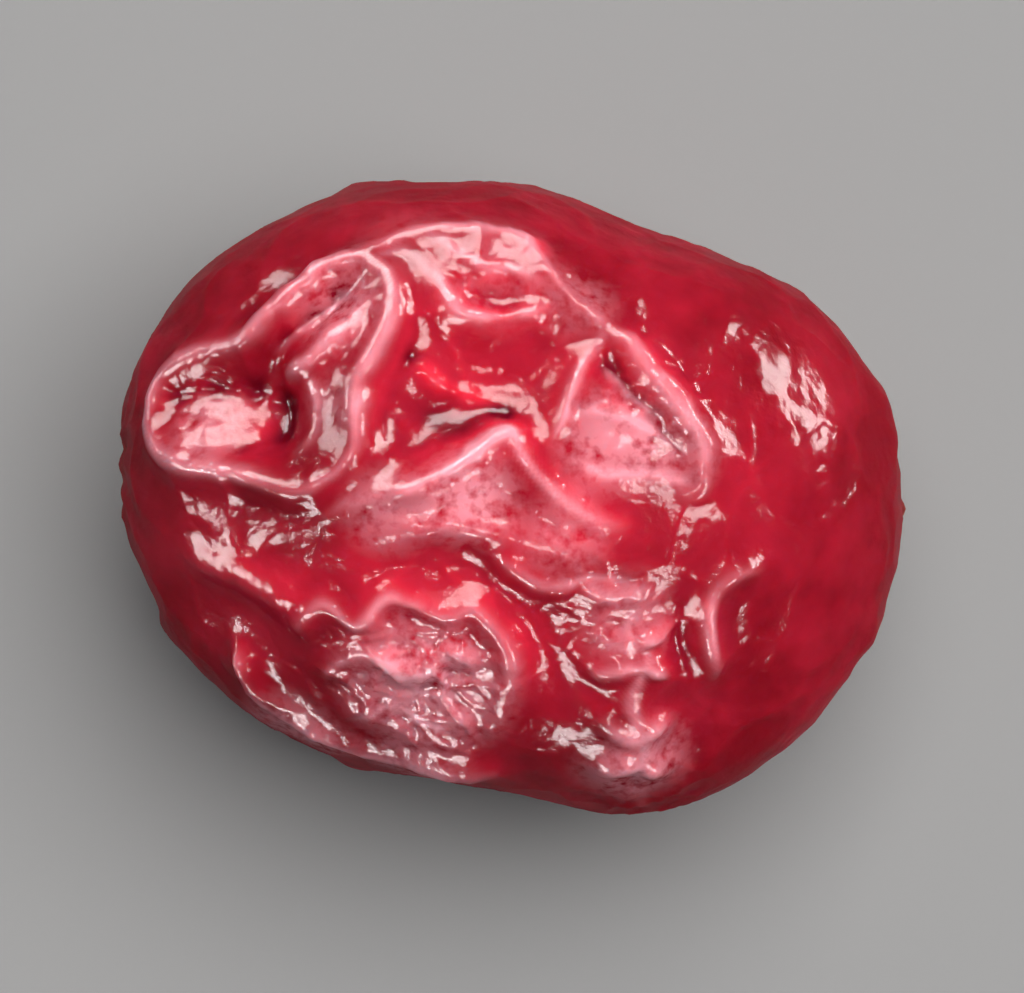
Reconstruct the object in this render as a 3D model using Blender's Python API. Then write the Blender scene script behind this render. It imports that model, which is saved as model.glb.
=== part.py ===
"""A whole dried cranberry, about 14 mm long, lying on its flat underside.

Metres, +Z up, with the origin on the surface it lies on, under the middle of its outline. +X runs along
the berry's length, from the stem scar to the blossom end. The body is a rounded pillow with a lopsided
outline. As the flesh dried, the skin sank into hollows between stiff crests, so its sag is worked out as
a film that is sucked inwards and hangs from those crests.
"""

import math

import bmesh
import bpy
import numpy as np
from mathutils import Vector, noise

# All sizes here are in millimetres, and METRES turns them into the scene's unit.
METRES = 0.001

# Body. The outline is seen from above: one radius every 30 degrees, counter-clockwise from +X.
OUTLINE_RADII = (6.95, 6.5, 5.35, 5.55, 6.2, 6.9, 6.95, 6.3, 5.45, 5.25, 6.3, 6.85)
WAIST_HEIGHT = 3.6
CROWN_HEIGHT = 5.1
BELLY_DEPTH = 4.3
BELLY_ROUNDING = 0.5
FLAT_WITHIN = 0.002
CROWN_SHIFT = (-0.9, 1.1)
SQUARENESS = 2.3

# Skin. Its sag dies away over FILM_REACH on either side of a crest.
# A crest is its half-width and its stiffness beside the film's own: sharp creases above, round folds below.
FILM_REACH = 0.5
CREST_GRIP = (0.1, 90)
FOLD_GRIP = (0.2, 16)
# How far the crests waver from their places, over what length, and which of the ways to waver is taken.
CREST_WANDER = 0.14
WANDER_LENGTH = 1.1
WANDER_SEED = 7
# How much a crest rises and falls along its way, and the distance between its rises.
UNEVENNESS = (0.2, 1.5)
# The groove beside a rolled crest: its depth, its distance from the crest and its half-width.
GROOVE = (0.45, 0.38, 0.18)
ROLLED = ("left pit rim", "hem", "far fold")
# Crests that hold the skin as softly as a fold.
SOFT = (
    "left pit floor", "left pit floor middle", "left pit floor end", "left pit slope",
    "left pit slope middle", "left pit slope end", "left pit cavity", "wing foot",
    "left flank", "right shoulder", "right shoulder edge",
)

# Mesh. A cube with this many squares along each edge is blown up into the body's first mesh.
SQUARES = 96
MOST_TRIANGLES = 11200

# Crests on the shown side: height over the body, then the places (x, y) that each passes seen from above.
# One with a height far below 0 is a crease, which holds the skin down.
CRESTS = {
    "left pit rim": (0.35, (-6.1, 1.3), (-6.0, 1.85), (-5.75, 2.25), (-5.25, 2.5), (-4.7, 2.6), (-4.25, 2.85),
                     (-3.8, 3.25), (-3.3, 3.65), (-2.85, 3.9), (-2.4, 3.95), (-2.05, 3.7), (-2.0, 3.15),
                     (-2.2, 2.6), (-2.5, 2.1), (-2.5, 1.55), (-2.6, 0.95), (-3.0, 0.4), (-3.5, 0.15),
                     (-4.15, 0.35), (-4.8, 0.5), (-5.5, 0.6), (-5.9, 0.9), (-6.1, 1.3)),
    "left pit floor": (-0.15, (-5.75, 2.05), (-5.8, 1.6)),
    "left pit floor middle": (-0.45, (-5.2, 2.15), (-5.2, 1.65)),
    "left pit floor end": (-0.8, (-4.6, 2.2), (-4.6, 1.65)),
    "left pit slope": (0.15, (-5.8, 1.3), (-5.6, 0.85)),
    "left pit slope middle": (-0.05, (-5.2, 1.3), (-5.15, 0.75)),
    "left pit slope end": (-0.35, (-4.6, 1.3), (-4.6, 0.65)),
    "left pit cavity": (-1.0, (-4.1, 2.1), (-4.0, 1.5), (-4.1, 0.8)),
    "left pit lip": (-0.1, (-3.5, 2.25), (-3.25, 1.7), (-3.3, 1.1), (-3.7, 0.6)),
    "left pit lining": (-0.35, (-4.2, 2.5), (-3.7, 2.9), (-3.2, 3.3), (-2.75, 3.6)),
    "left pit strand": (0.1, (-3.85, 2.15), (-3.3, 2.5), (-2.85, 2.85), (-2.45, 3.3)),
    "crown": (0.35, (-2.75, 3.9), (-2.3, 4.15), (-1.6, 4.35), (-0.7, 4.45), (0.0, 4.35), (0.45, 3.95),
              (0.8, 3.55), (1.2, 3.15), (1.55, 2.85), (2.0, 2.55), (2.35, 2.1), (2.85, 1.55), (3.2, 0.95),
              (3.2, 0.35), (2.85, 0.05)),
    "crown hem": (0.2, (-2.3, 4.0), (-1.75, 4.1), (-1.25, 3.75), (-0.9, 3.3), (-0.2, 3.05), (0.5, 3.15),
                  (1.0, 3.4)),
    "crown pleat": (0.25, (-1.5, 4.35), (-0.9, 4.15), (-0.45, 3.9), (0.0, 3.8), (0.6, 3.5)),
    "dish ridge": (-0.5, (-1.8, 2.6), (-1.4, 2.3), (-1.0, 1.9)),
    "right lobe edge": (0.15, (1.35, 3.15), (1.55, 2.7), (1.3, 2.25), (1.1, 1.8), (0.9, 1.3), (0.7, 0.85)),
    "right lobe crease": (-0.2, (1.6, 2.35), (2.05, 1.9), (2.65, 1.45)),
    "right lobe facet": (-0.15, (1.1, 1.55), (1.9, 1.45), (2.55, 1.15), (3.0, 0.75)),
    "right lobe foot": (0.05, (0.9, 0.6), (1.75, 0.4), (2.55, 0.35), (3.15, 0.35)),
    "wing": (0.25, (-3.25, -0.45), (-2.8, -0.15), (-2.3, 0.05), (-1.6, 0.25), (-1.0, 0.55), (-0.45, 0.9),
             (0.0, 1.15), (0.2, 0.75), (0.5, 0.25), (1.0, -0.1), (1.6, -0.35), (2.15, -0.45)),
    "wing foot": (0.15, (-3.15, -0.75), (-2.45, -0.65), (-1.75, -0.45), (-0.9, -0.45), (-0.05, -0.65),
                  (0.75, -0.8), (1.6, -0.95), (2.3, -0.75)),
    "under the wing": (0.1, (-0.3, -1.05), (0.55, -1.4), (1.35, -1.3), (2.3, -1.55)),
    "centre crease": (-0.75, (-1.3, 2.2), (-0.7, 1.85), (-0.2, 1.6), (0.1, 1.35)),
    "near fold": (0.1, (2.3, -1.4), (2.0, -2.15), (2.3, -2.7), (2.0, -3.45), (2.25, -4.15), (2.1, -4.85),
                  (2.45, -5.4)),
    "near fold pleat": (0.25, (1.15, -1.3), (1.7, -1.65), (2.4, -1.5)),
    "near fold second pleat": (0.2, (1.4, -2.2), (1.95, -2.5), (2.65, -2.2)),
    "near fold third pleat": (0.25, (1.35, -3.0), (1.95, -2.85), (2.65, -3.0)),
    "near fold fourth pleat": (0.2, (1.5, -3.7), (2.05, -3.95), (2.75, -3.85)),
    "near fold foot pleat": (0.3, (1.5, -4.55), (2.05, -4.4), (2.65, -4.7)),
    "far fold": (0.3, (4.3, -1.15), (3.65, -1.25), (3.25, -1.75), (3.3, -2.4), (3.45, -3.1)),
    "left flank": (0.15, (-5.7, -0.95), (-4.9, -1.25), (-4.2, -1.55), (-3.6, -1.75)),
    "hem": (0.25, (-4.85, -2.6), (-4.35, -3.35), (-3.45, -3.9), (-2.55, -4.35), (-1.35, -4.55),
            (-0.15, -4.65)),
    "knot": (0.1, (-3.75, -2.25), (-3.15, -1.75), (-2.55, -2.05), (-1.95, -1.65), (-1.25, -2.05),
             (-0.55, -1.9), (-0.05, -2.45), (0.05, -3.3), (-0.3, -4.0)),
    "knot strand": (0.05, (-3.3, -3.1), (-2.45, -2.6), (-1.75, -3.05), (-1.0, -2.6), (-0.4, -2.95)),
    "knot second strand": (0.05, (-2.7, -3.9), (-1.95, -3.55), (-1.25, -3.9), (-0.55, -3.65)),
    "right shoulder": (0.12, (4.15, 3.05), (4.35, 2.0), (4.65, 1.05), (5.0, 0.1)),
    "right shoulder edge": (0.12, (5.0, 2.8), (5.5, 1.75), (5.55, 0.35)),
}

# Folds on the sides and the underside: height, then places (degrees round from +X, degrees up).
HIDDEN_FOLDS = {
    "back left": (0.15, (108, 16), (116, 4), (113, -10), (124, -26), (138, -48)),
    "back left branch": (0.1, (116, 2), (130, -6), (146, -20), (160, -38)),
    "back middle": (0.15, (92, 8), (84, -6), (90, -20), (78, -40), (52, -62)),
    "back middle branch": (0.1, (86, -12), (72, -18), (64, -34)),
    "back right": (0.1, (60, 18), (50, 2), (56, -16), (42, -40)),
    "back right branch": (0.05, (54, -8), (36, -16), (24, -34)),
    "blossom upper": (0.1, (22, 24), (14, 10), (4, 12)),
    "blossom lower": (0.15, (-8, -10), (-4, -26), (-14, -44), (-40, -62)),
    "blossom side": (0.1, (-24, 14), (-18, 0), (-26, -16), (-20, -34)),
    "front left": (0.1, (236, 4), (244, -14), (234, -34), (212, -58)),
    "front left branch": (0.1, (240, -8), (222, -16), (208, -30)),
    "front middle": (0.15, (268, -6), (261, -22), (270, -40), (262, -60)),
    "front right": (0.1, (304, -4), (298, -24), (308, -46)),
    "front right branch": (0.1, (300, -14), (286, -22), (282, -38)),
    "stem lower": (0.1, (190, -12), (178, -30), (190, -52), (236, -72)),
    "stem upper": (0.1, (158, 26), (168, 10), (160, -6)),
    "stem side": (0.1, (206, 14), (200, 0), (208, -14)),
}

# Hollows that the skin sinks into: depth, radius, then the middle (x, y, z).
HOLLOWS = {
    "left pit": (0.35, 1.8, (-5.1, 1.4, 7.8)),
    "left pit cavity": (0.7, 1.0, (-4.1, 1.6, 8.2)),
    "left pit upper end": (0.7, 1.2, (-3.2, 3.2, 8.1)),
    "dish": (1.2, 2.4, (-0.4, 2.3, 8.6)),
    "dish lower end": (0.8, 1.4, (-1.4, 1.2, 8.7)),
    "crown dimple": (1.1, 0.4, (-0.3, 3.5, 8.2)),
    "crown second dimple": (1.0, 0.35, (0.4, 4.1, 7.7)),
    "right lobe": (0.7, 1.3, (2.2, 2.0, 8.3)),
    "right valley": (0.8, 1.2, (1.3, 0.0, 8.5)),
    "front valley": (0.9, 2.4, (-0.9, -1.4, 8.3)),
    "middle valley": (0.7, 1.4, (0.8, -2.9, 7.8)),
    "knot": (0.4, 1.7, (-1.6, -3.0, 7.5)),
    "fold valley": (0.7, 1.1, (2.9, -2.4, 7.6)),
    "fold valley foot": (0.7, 1.3, (2.9, -4.0, 6.7)),
    "left flank": (0.7, 2.2, (-4.7, -1.9, 7.1)),
    "back left": (1.0, 2.6, (-1.6, 5.2, 2.4)),
    "back far left": (0.8, 2.2, (-4.2, 4.4, 2.6)),
    "back right": (0.9, 2.4, (3.4, 4.4, 2.4)),
    "blossom side": (0.9, 2.2, (6.0, -2.6, 2.6)),
    "blossom back": (0.6, 2.0, (5.6, 2.6, 2.6)),
    "stem side": (0.9, 2.4, (-6.0, 2.6, 2.2)),
    "stem front": (0.7, 2.0, (-6.0, -1.8, 3.0)),
    "front foot": (0.9, 2.4, (-0.6, -4.8, 2.2)),
    "front left foot": (0.9, 2.2, (-4.2, -3.4, 2.4)),
    "front right foot": (0.8, 2.2, (3.4, -4.4, 2.4)),
}

# Ends of the fruit: the puckered pit that the stem left, and the dry remnant of the flower with its flaps.
STEM_SCAR = (-6.6, 0.5, 4.6)
STEM_SCAR_RADIUS = 0.5
STEM_PLEATS = 9
CALYX = (6.8, -0.4, 2.8)
CALYX_RADIUS = 1.1
CALYX_FLAPS = 4
SCAR_RELIEF = 0.15


def curve(points, spans, steps):
    """Points on a smooth curve: at each span number, this many steps on from the point of that number."""
    count = len(points)
    line = []
    for span in spans:
        a, b, c, d = (points[(span + k) % count] for k in (-1, 0, 1, 2))
        for f in np.arange(steps) / steps:
            line.append(b + 0.5 * f * (c - a + f * (2 * a - 5 * b + 4 * c - d + f * (3 * (b - c) + d - a))))
    return np.array(line)


def open_curve(places, steps=8):
    """Points on a smooth curve through these places, from the first to the last."""
    places = np.asarray(places, float)
    longer = np.vstack((2 * places[0] - places[1], places, 2 * places[-1] - places[-2]))
    return np.vstack((curve(longer, range(1, len(places)), steps), places[-1:]))


OUTLINE = curve(np.array(OUTLINE_RADII), range(len(OUTLINE_RADII)), 30)


def outline_radius(x, y):
    turn = np.mod(np.arctan2(y, x) / (2 * math.pi), 1)
    return np.interp(turn, np.linspace(0, 1, len(OUTLINE) + 1), np.append(OUTLINE, OUTLINE[0]))


def body_points(directions):
    """Points of the plump body, before the skin sinks, for rows of unit vectors."""
    x, y, z = directions.T
    level = np.sign(z) * np.abs(z) ** (2 / SQUARENESS)
    around = np.hypot(x, y)
    radius = outline_radius(x, y) * around ** (2 / SQUARENESS - 1)
    lean = np.clip(level, 0, 1) ** 2
    height = WAIST_HEIGHT + np.where(level > 0, CROWN_HEIGHT, BELLY_DEPTH) * level
    return np.stack((radius * x + CROWN_SHIFT[0] * lean, radius * y + CROWN_SHIFT[1] * lean, height), axis=1)


def over_crown(x, y):
    """The point of the body's upper side over (x, y)."""
    level = 1.0
    for _ in range(40):
        bare_x, bare_y = x - CROWN_SHIFT[0] * level**2, y - CROWN_SHIFT[1] * level**2
        share = min(1.0, math.hypot(bare_x, bare_y) / outline_radius(bare_x, bare_y))
        level = (level + (1 - share**SQUARENESS) ** (1 / SQUARENESS)) / 2
    return (x, y, WAIST_HEIGHT + CROWN_HEIGHT * level)


def at_angles(around, up):
    """The point of the body in the direction these degrees round from +X and these degrees up."""
    around, up = math.radians(around), math.radians(up)
    direction = (math.cos(around) * math.cos(up), math.sin(around) * math.cos(up), math.sin(up))
    return body_points(np.array([direction]))[0]


def crest_lines():
    """Each crest: its name, its grip on the skin, its height and its points on the body."""
    for name, (height, *places) in CRESTS.items():
        grip = FOLD_GRIP if name in SOFT else CREST_GRIP
        yield name, grip, height, np.array([over_crown(x, y) for x, y in open_curve(places)])
    for name, (height, *places) in HIDDEN_FOLDS.items():
        yield name, FOLD_GRIP, height, np.array([at_angles(*place) for place in open_curve(places)])


def nearest_on_line(points, line):
    """Distance from each point to a line, and how far along the line its nearest place is, from 0 to 1."""
    lengths = np.linalg.norm(np.diff(line, axis=0), axis=1)
    starts = np.concatenate(([0], np.cumsum(lengths)))
    distance = np.full(len(points), np.inf)
    along = np.zeros(len(points))
    for start, length, a, b in zip(starts, lengths, line, line[1:]):
        share = np.clip((points - a) @ (b - a) / length**2, 0, 1)
        gap = np.linalg.norm(points - a - share[:, None] * (b - a), axis=1)
        nearer = gap < distance
        distance[nearer] = gap[nearer]
        along[nearer] = ((start + share * length) / starts[-1])[nearer]
    return distance, along


def crest_hold(points):
    """How stiffly the crests hold the skin, that times the height they hold it at, and their grooves."""
    stiffness = np.zeros(len(points))
    lift = np.zeros(len(points))
    groove = np.zeros(len(points))
    groove_depth, groove_distance, groove_width = GROOVE
    rise, spacing = UNEVENNESS
    noise.seed_set(WANDER_SEED)
    wander = np.array([noise.noise_vector(Vector(point) / WANDER_LENGTH) for point in points])
    moved = points + CREST_WANDER * wander
    uneven = rise * np.array([noise.noise(Vector(point) / spacing) for point in points])
    for name, (half_width, firmness), height, line in crest_lines():
        distance, along = nearest_on_line(moved, line)
        closed = np.allclose(line[0], line[-1])
        fade = 1 if closed else np.clip(5 * np.minimum(along, 1 - along), 0, 1)
        hold = firmness * fade * np.exp(-((distance / half_width) ** 2))
        stiffness += hold
        lift += hold * (height + uneven)
        if name in ROLLED:
            beside = np.exp(-(((distance - groove_distance) / groove_width) ** 2))
            groove = np.maximum(groove, fade * groove_depth * beside)
    return stiffness, lift, groove


def suction(points):
    """How deep the skin would sink at each point, were there no crests."""
    depth = np.zeros(len(points))
    for deepest, radius, middle in HOLLOWS.values():
        share = np.linalg.norm(points - middle, axis=1) / radius
        depth += deepest * np.clip(1 - share**2, 0, 1) ** 1.5
    return depth


def sag(points, neighbours):
    """Height of the skin over the body at each point: a film sucked inwards that the crests hold up."""
    stiffness, lift, groove = crest_hold(points)
    depth = suction(points) + groove
    edges = np.linalg.norm(points[neighbours] - points[:, None], axis=2)
    pull = FILM_REACH**2 / (edges * edges.mean(axis=1, keepdims=True))
    total = pull.sum(axis=1) + 1 + stiffness
    slowest = (pull.sum(axis=1) / (pull.sum(axis=1) + 1)).max()
    film, earlier, step = -depth, -depth, 1.0
    for _ in range(int(12 / math.sqrt(1 - slowest))):
        relaxed = ((pull * film[neighbours]).sum(axis=1) - depth + lift) / total
        film, earlier = earlier + step * (relaxed - earlier), film
        step = 1 / (1 - step * slowest**2 / (4 if step > 1 else 2))
    return film


def end_relief(points):
    """Relief of the fruit's ends: a puckered pit where the stem was, and a crater among dry flaps."""
    offset = points - STEM_SCAR
    distance = np.linalg.norm(offset, axis=1) / STEM_SCAR_RADIUS
    pleats = np.cos(STEM_PLEATS * np.arctan2(offset[:, 2], offset[:, 1]))
    pleats = pleats * np.exp(-((distance - 1.7) ** 2) / 0.5)
    relief = SCAR_RELIEF * (0.3 * pleats - 3 * np.exp(-(distance**2)))
    offset = points - CALYX
    distance = np.linalg.norm(offset, axis=1) / CALYX_RADIUS
    turn = np.arctan2(offset[:, 2], offset[:, 1]) + 0.5 * distance
    flap = np.abs(np.mod(CALYX_FLAPS * turn / math.pi, 2) - 1)
    raised = np.clip((0.4 + flap * (0.45 + 0.12 * np.cos(turn)) - distance) / 0.2, 0, 1)
    crater = np.exp(-((distance / 0.35) ** 2))
    return relief + SCAR_RELIEF * (raised * (0.3 + 0.6 * distance) - 3.5 * crater)


def flattened(height):
    """Heights with the belly pressed flat at 0, and rounded from there up to the sides."""
    lower = np.clip(height + BELLY_ROUNDING, 0, 2 * BELLY_ROUNDING)
    return np.where(height < BELLY_ROUNDING, lower**2 / (4 * BELLY_ROUNDING), height)


def round_mesh(squares):
    """A cube of squares blown up into a unit sphere."""
    mesh = bmesh.new()
    bmesh.ops.create_cube(mesh, size=2)
    bmesh.ops.subdivide_edges(mesh, edges=mesh.edges[:], cuts=squares - 1, use_grid_fill=True)
    for vertex in mesh.verts:
        vertex.co = Vector([math.tan(side * math.pi / 4) for side in vertex.co]).normalized()
    mesh.verts.index_update()
    return mesh


def neighbours_of(mesh):
    """Each vertex's four neighbours. At a corner of the cube, which has three, the first counts twice."""
    rows = [[edge.other_vert(vertex).index for edge in vertex.link_edges] for vertex in mesh.verts]
    return np.array([(row + row)[:4] for row in rows])


def move_vertices(mesh, points):
    for vertex, point in zip(mesh.verts, points):
        vertex.co = point
    mesh.normal_update()


def full_mesh():
    """The berry with its skin sunk, as a fine mesh."""
    mesh = round_mesh(SQUARES)
    points = body_points(np.array([vertex.co for vertex in mesh.verts]))
    move_vertices(mesh, points)
    normals = np.array([vertex.normal for vertex in mesh.verts])
    height = sag(points, neighbours_of(mesh)) + end_relief(points)
    points = points + normals * height[:, None]
    points[:, 2] = flattened(points[:, 2])
    points[:, :2] -= (points[:, :2].min(axis=0) + points[:, :2].max(axis=0)) / 2
    move_vertices(mesh, points * METRES)
    data = bpy.data.meshes.new("fine berry")
    mesh.to_mesh(data)
    mesh.free()
    return data


def thin_out(berry):
    """Keeps the triangles that the crests need, and sets the flat spot level again."""
    fewer = berry.modifiers.new("Fewer triangles", "DECIMATE")
    fewer.ratio = MOST_TRIANGLES / (12 * SQUARES**2)
    bpy.context.view_layer.update()
    thinned = bpy.data.meshes.new_from_object(berry.evaluated_get(bpy.context.evaluated_depsgraph_get()))
    berry.modifiers.remove(fewer)
    berry.data = thinned
    for vertex in thinned.vertices:
        if vertex.co.z < FLAT_WITHIN * METRES:
            vertex.co.z = 0
    thinned.shade_smooth()


def skin_material():
    material = bpy.data.materials.new("berry_skin")
    material.use_nodes = True
    shader = material.node_tree.nodes["Principled BSDF"]
    shader.inputs["Base Color"].default_value = (0.3, 0.008, 0.016, 1)
    shader.inputs["Roughness"].default_value = 0.25
    shader.inputs["Metallic"].default_value = 0
    return material


def main():
    for old in list(bpy.data.objects):
        bpy.data.objects.remove(old)
    berry = bpy.data.objects.new("cranberry", full_mesh())
    bpy.context.scene.collection.objects.link(berry)
    thin_out(berry)
    berry.data.materials.append(skin_material())


main()
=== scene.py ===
"""The finish of a whole dried cranberry: its wrinkled skin, calyx and stem scar, and the studio round it.

Run as a script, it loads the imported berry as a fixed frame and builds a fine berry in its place. Sizes in
the tables are in millimetres, and MM turns them into metres. +X runs from the stem scar to the blossom end
and +Z is up out of the caved-in top.
"""

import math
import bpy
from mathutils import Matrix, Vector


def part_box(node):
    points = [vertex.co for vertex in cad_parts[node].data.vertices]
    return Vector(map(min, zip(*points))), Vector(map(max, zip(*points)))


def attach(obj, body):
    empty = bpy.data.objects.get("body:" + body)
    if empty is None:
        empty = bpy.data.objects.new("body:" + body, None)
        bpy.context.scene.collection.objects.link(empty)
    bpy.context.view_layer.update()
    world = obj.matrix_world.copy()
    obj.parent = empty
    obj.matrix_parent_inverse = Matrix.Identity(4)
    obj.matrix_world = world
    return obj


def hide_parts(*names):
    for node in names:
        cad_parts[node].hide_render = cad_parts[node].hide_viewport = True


bl_info = {
    "name": "Dried cranberry",
    "version": (1, 0, 0),
    "blender": (4, 5, 0),
    "location": "3D View > Sidebar > Cranberry",
    "description": "Builds a wrinkled dried cranberry and a small studio for it",
    "category": "Object",
}

import bmesh
import bpy
import numpy as np
from bpy.props import FloatProperty, FloatVectorProperty, IntProperty, PointerProperty
from mathutils import Euler, Vector, noise

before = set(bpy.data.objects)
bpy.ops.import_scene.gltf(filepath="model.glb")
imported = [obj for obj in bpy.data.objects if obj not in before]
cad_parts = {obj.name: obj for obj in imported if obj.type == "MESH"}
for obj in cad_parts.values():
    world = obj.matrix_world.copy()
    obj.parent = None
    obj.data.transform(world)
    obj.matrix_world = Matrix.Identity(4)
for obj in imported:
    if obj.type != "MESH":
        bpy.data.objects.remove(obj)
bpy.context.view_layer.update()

MM = 0.001
NODE = "cranberry"

# Body. The outline is seen from above: one radius every 30 degrees, counter-clockwise from +X.
OUTLINE_RADII = (6.95, 6.5, 5.35, 5.55, 6.2, 6.9, 6.95, 6.3, 5.45, 5.25, 6.3, 6.85)
CROWN_SHIFT = (-0.9, 1.1)
SQUARENESS = 2.3

# How a crest holds the skin: its half-width, and its stiffness beside the skin's own.
CREST_GRIP = (0.1, 90)
FOLD_GRIP = (0.2, 16)
# How the crests waver from their places, broadly and then finely: over what length, and how far.
WAVERS = ((1.1, 0.14), (0.35, 0.03))
# Which of the ways to waver the crests take.
WANDER_SEED = 7
# How much a crest rises and falls along its way, and the distance between its rises.
UNEVENNESS = (0.2, 1.5)
# The groove beside a rolled crest: its depth, its distance from the crest and its half-width.
GROOVE = (0.45, 0.38, 0.18)
# The half-width of the pale line on a crest, partly painted highlight, and the height below which a crest is
# a crease without one.
RIDGE_HALF_WIDTH = 0.09
CREASE_HEIGHT = -0.5
ROLLED = ("left pit rim", "hem", "far fold")
# Crests that hold the skin as softly as a fold.
SOFT = (
    "left pit floor", "left pit floor middle", "left pit floor end", "left pit slope",
    "left pit slope middle", "left pit slope end", "left pit cavity", "wing foot",
    "left flank", "right shoulder", "right shoulder edge",
)

# The film settles in this many rounds, times a number that grows with the mesh's fineness.
FILM_ROUNDS = 12

# Crests on the shown side: height over the body, then the places (x, y) that each passes seen from above.
# One with a height far below 0 is a crease, which holds the skin down.
CRESTS = {
    "left pit rim": (0.35, (-6.1, 1.3), (-6.0, 1.85), (-5.75, 2.25), (-5.25, 2.5), (-4.7, 2.6), (-4.25, 2.85),
                     (-3.8, 3.25), (-3.3, 3.65), (-2.85, 3.9), (-2.4, 3.95), (-2.05, 3.7), (-2.0, 3.15),
                     (-2.2, 2.6), (-2.5, 2.1), (-2.5, 1.55), (-2.6, 0.95), (-3.0, 0.4), (-3.5, 0.15),
                     (-4.15, 0.35), (-4.8, 0.5), (-5.5, 0.6), (-5.9, 0.9), (-6.1, 1.3)),
    "left pit floor": (-0.15, (-5.75, 2.05), (-5.8, 1.6)),
    "left pit floor middle": (-0.45, (-5.2, 2.15), (-5.2, 1.65)),
    "left pit floor end": (-0.8, (-4.6, 2.2), (-4.6, 1.65)),
    "left pit slope": (0.15, (-5.8, 1.3), (-5.6, 0.85)),
    "left pit slope middle": (-0.05, (-5.2, 1.3), (-5.15, 0.75)),
    "left pit slope end": (-0.35, (-4.6, 1.3), (-4.6, 0.65)),
    "left pit cavity": (-1.0, (-4.1, 2.1), (-4.0, 1.5), (-4.1, 0.8)),
    "left pit lip": (-0.1, (-3.5, 2.25), (-3.25, 1.7), (-3.3, 1.1), (-3.7, 0.6)),
    "left pit lining": (-0.35, (-4.2, 2.5), (-3.7, 2.9), (-3.2, 3.3), (-2.75, 3.6)),
    "left pit strand": (0.1, (-3.85, 2.15), (-3.3, 2.5), (-2.85, 2.85), (-2.45, 3.3)),
    "crown": (0.35, (-2.75, 3.9), (-2.3, 4.15), (-1.6, 4.35), (-0.7, 4.45), (0.0, 4.35), (0.45, 3.95),
              (0.8, 3.55), (1.2, 3.15), (1.55, 2.85), (2.0, 2.55), (2.35, 2.1), (2.85, 1.55), (3.2, 0.95),
              (3.2, 0.35), (2.85, 0.05)),
    "crown hem": (0.2, (-2.3, 4.0), (-1.75, 4.1), (-1.25, 3.75), (-0.9, 3.3), (-0.2, 3.05), (0.5, 3.15),
                  (1.0, 3.4)),
    "crown pleat": (0.25, (-1.5, 4.35), (-0.9, 4.15), (-0.45, 3.9), (0.0, 3.8), (0.6, 3.5)),
    "dish ridge": (-0.5, (-1.8, 2.6), (-1.4, 2.3), (-1.0, 1.9)),
    "right lobe edge": (0.15, (1.35, 3.15), (1.55, 2.7), (1.3, 2.25), (1.1, 1.8), (0.9, 1.3), (0.7, 0.85)),
    "right lobe crease": (-0.2, (1.6, 2.35), (2.05, 1.9), (2.65, 1.45)),
    "right lobe facet": (-0.15, (1.1, 1.55), (1.9, 1.45), (2.55, 1.15), (3.0, 0.75)),
    "right lobe foot": (0.05, (0.9, 0.6), (1.75, 0.4), (2.55, 0.35), (3.15, 0.35)),
    "wing": (0.25, (-3.25, -0.45), (-2.8, -0.15), (-2.3, 0.05), (-1.6, 0.25), (-1.0, 0.55), (-0.45, 0.9),
             (0.0, 1.15), (0.2, 0.75), (0.5, 0.25), (1.0, -0.1), (1.6, -0.35), (2.15, -0.45)),
    "wing foot": (0.15, (-3.15, -0.75), (-2.45, -0.65), (-1.75, -0.45), (-0.9, -0.45), (-0.05, -0.65),
                  (0.75, -0.8), (1.6, -0.95), (2.3, -0.75)),
    "under the wing": (0.1, (-0.3, -1.05), (0.55, -1.4), (1.35, -1.3), (2.3, -1.55)),
    "centre crease": (-0.75, (-1.3, 2.2), (-0.7, 1.85), (-0.2, 1.6), (0.1, 1.35)),
    "near fold": (0.1, (2.3, -1.4), (2.0, -2.15), (2.3, -2.7), (2.0, -3.45), (2.25, -4.15), (2.1, -4.85),
                  (2.45, -5.4)),
    "near fold pleat": (0.25, (1.15, -1.3), (1.7, -1.65), (2.4, -1.5)),
    "near fold second pleat": (0.2, (1.4, -2.2), (1.95, -2.5), (2.65, -2.2)),
    "near fold third pleat": (0.25, (1.35, -3.0), (1.95, -2.85), (2.65, -3.0)),
    "near fold fourth pleat": (0.2, (1.5, -3.7), (2.05, -3.95), (2.75, -3.85)),
    "near fold foot pleat": (0.3, (1.5, -4.55), (2.05, -4.4), (2.65, -4.7)),
    "far fold": (0.3, (4.3, -1.15), (3.65, -1.25), (3.25, -1.75), (3.3, -2.4), (3.45, -3.1)),
    "left flank": (0.15, (-5.7, -0.95), (-4.9, -1.25), (-4.2, -1.55), (-3.6, -1.75)),
    "hem": (0.25, (-4.85, -2.6), (-4.35, -3.35), (-3.45, -3.9), (-2.55, -4.35), (-1.35, -4.55),
            (-0.15, -4.65)),
    "knot": (0.1, (-3.75, -2.25), (-3.15, -1.75), (-2.55, -2.05), (-1.95, -1.65), (-1.25, -2.05),
             (-0.55, -1.9), (-0.05, -2.45), (0.05, -3.3), (-0.3, -4.0)),
    "knot strand": (0.05, (-3.3, -3.1), (-2.45, -2.6), (-1.75, -3.05), (-1.0, -2.6), (-0.4, -2.95)),
    "knot second strand": (0.05, (-2.7, -3.9), (-1.95, -3.55), (-1.25, -3.9), (-0.55, -3.65)),
    "right shoulder": (0.12, (4.15, 3.05), (4.35, 2.0), (4.65, 1.05), (5.0, 0.1)),
    "right shoulder edge": (0.12, (5.0, 2.8), (5.5, 1.75), (5.55, 0.35)),
}

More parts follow.
